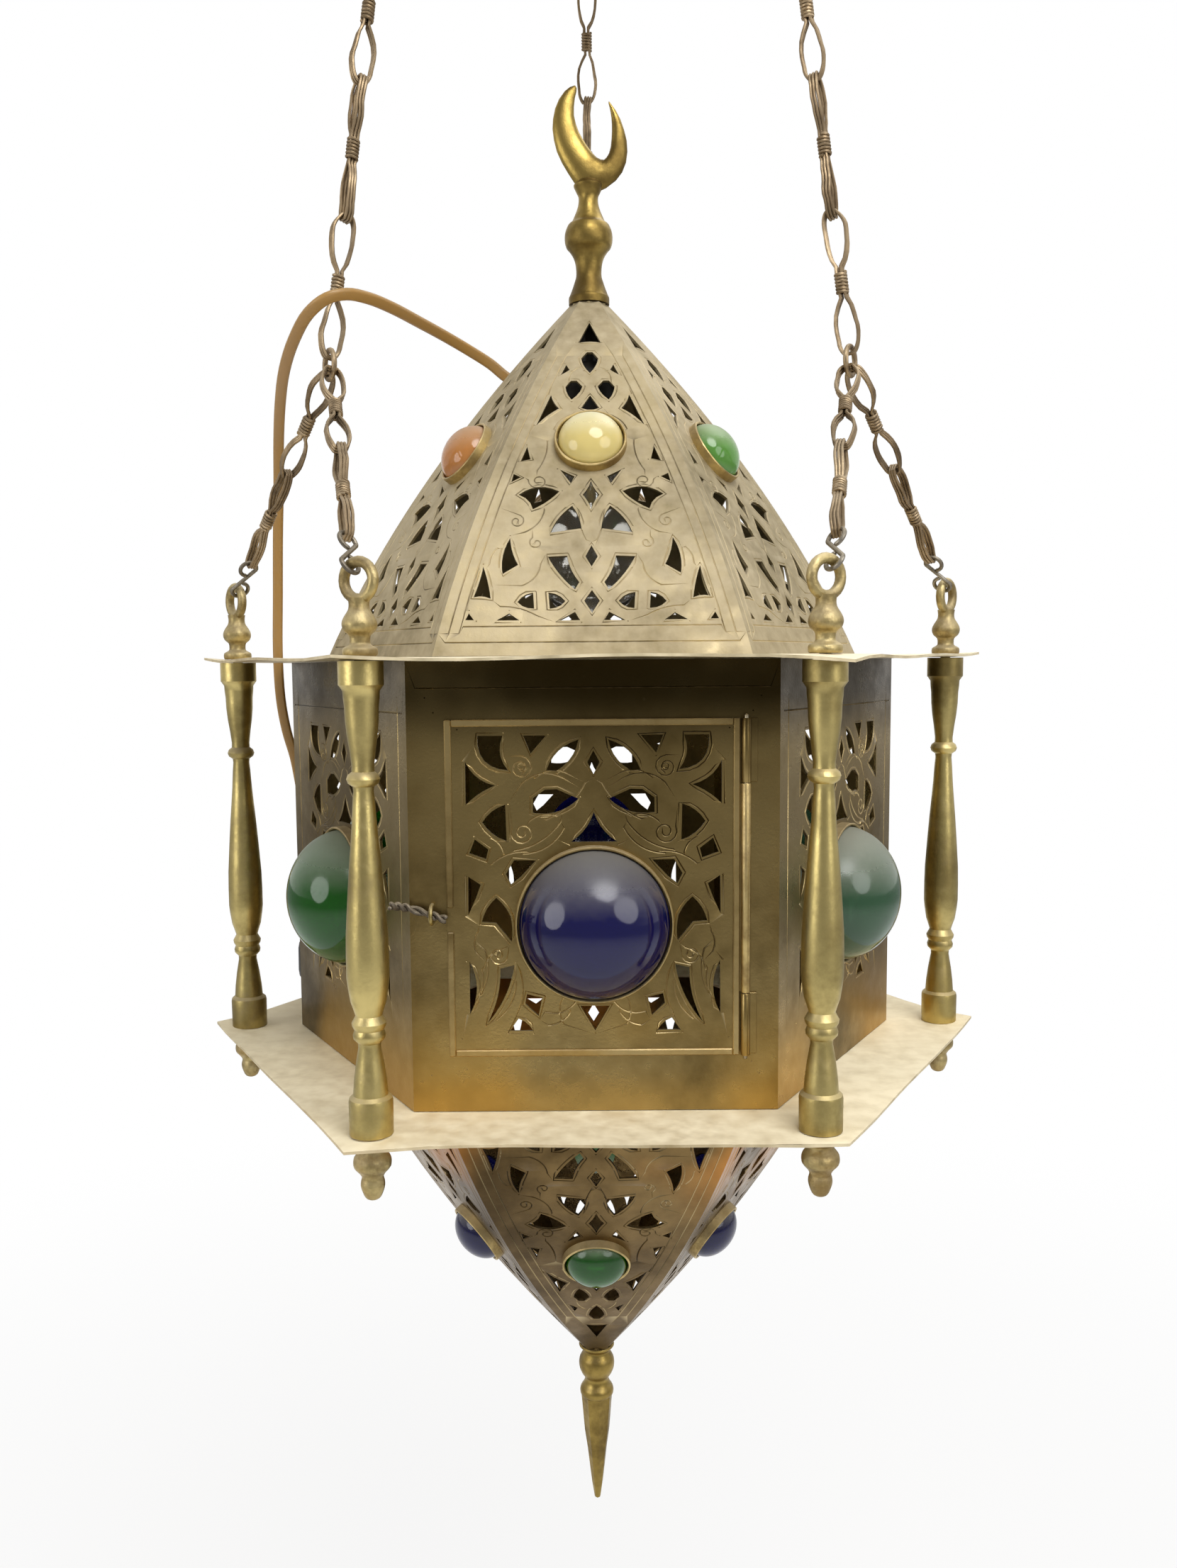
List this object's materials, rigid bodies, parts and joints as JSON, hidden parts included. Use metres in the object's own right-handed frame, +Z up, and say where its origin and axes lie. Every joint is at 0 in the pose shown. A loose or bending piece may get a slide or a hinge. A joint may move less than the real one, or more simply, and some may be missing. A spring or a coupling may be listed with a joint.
{
  "type": "pierced brass hanging lantern",
  "caption": "Six-sided pierced brass hanging lantern with coloured glass domes, turned columns, a hinged door, a crescent finial and chains gathered to a ceiling hook.",
  "frame": {"origin": "middle of the ceiling hook's flat round base, on the face that lies on the ceiling", "axes": "+Z up into the ceiling, -Y towards the front, where the door is, +X to the right seen from the front"},
  "size_m": [0.4052, 0.351, 0.9793],
  "materials": {
    "dark_wire": "dull dark iron wire",
    "cast_brass": "old turned brass, darker in the grooves",
    "chain_bronze": "dark brown bronze wire",
    "plate_sheet": "brass sheet under pale dust",
    "roof_sheet": "dusty grey-tan brass sheet",
    "drum_sheet": "brown tarnished brass sheet",
    "hinge_steel": "worn",
    "blue_glass": "deep cobalt blue",
    "green_glass": "bottle green",
    "teal_glass": "grey green",
    "pale_glass": "clear, slightly yellow",
    "amber_glass": "orange pink",
    "black_plastic": "black phenolic",
    "cord_plastic": "gold-brown flat twin flex"
  },
  "bodies": {
    "ceiling_hook": {"ceiling_hook": "dark_wire"},
    "swing_link": {"swing_link": "dark_wire"},
    "lantern": {"crown": "cast_brass", "left_upper_chain": "chain_bronze", "left_branch_chains": "chain_bronze", "right_upper_chain": "chain_bronze", "right_branch_chains": "chain_bronze", "back_upper_chain": "chain_bronze", "back_branch_chains": "chain_bronze", "top_plate": "plate_sheet", "bottom_plate": "plate_sheet", "column_front_left": "cast_brass", "eye_front_left": "cast_brass", "drop_front_left": "cast_brass", "column_front_right": "cast_brass", "eye_front_right": "cast_brass", "drop_front_right": "cast_brass", "column_right": "cast_brass", "eye_right": "cast_brass", "drop_right": "cast_brass", "column_back_right": "cast_brass", "eye_back_right": "cast_brass", "drop_back_right": "cast_brass", "column_back_left": "cast_brass", "eye_back_left": "cast_brass", "drop_back_left": "cast_brass", "column_left": "cast_brass", "eye_left": "cast_brass", "drop_left": "cast_brass", "drum": "drum_sheet", "hinge_pin": "hinge_steel", "upper_pyramid": "roof_sheet", "lower_pyramid": "drum_sheet", "crescent_finial": "cast_brass", "bottom_spike": "cast_brass", "drum_glass_front_right": "teal_glass", "drum_glass_back_right": "teal_glass", "drum_glass_back": "blue_glass", "drum_glass_back_left": "green_glass", "drum_glass_front_left": "green_glass", "upper_glass_front": "pale_glass", "lower_glass_front": "green_glass", "upper_glass_front_right": "green_glass", "lower_glass_front_right": "blue_glass", "upper_glass_back_right": "green_glass", "lower_glass_back_right": "blue_glass", "upper_glass_back": "pale_glass", "lower_glass_back": "green_glass", "upper_glass_back_left": "amber_glass", "lower_glass_back_left": "blue_glass", "upper_glass_front_left": "amber_glass", "lower_glass_front_left": "blue_glass", "lampholder": "black_plastic", "bulb": "pale_glass", "cord": "cord_plastic", "cord_coil": "cord_plastic", "plug": "black_plastic"},
    "door": {"door": "drum_sheet", "door_glass": "blue_glass"},
    "latch": {"latch_wire": "dark_wire"}
  },
  "joints": [
    {"name": "swing_sideways", "type": "hinge", "parent": "ceiling_hook", "child": "swing_link", "pos_m": [0, 0, -0.042], "axis": [0, 1, 0], "range_deg": [-15, 15]},
    {"name": "swing_fore_aft", "type": "hinge", "parent": "swing_link", "child": "lantern", "pos_m": [0, 0, -0.08305], "axis": [1, 0, 0], "range_deg": [-15, 15]},
    {"name": "door_hinge", "type": "hinge", "parent": "lantern", "child": "door", "pos_m": [0.064, -0.13818, -0.6123], "axis": [0, 0, 1], "range_deg": [0, 100]},
    {"name": "latch_slide", "type": "slide", "parent": "lantern", "child": "latch", "axis": [0.9511, 0, -0.309], "range_m": [-0.004, 0.006]}
  ]
}
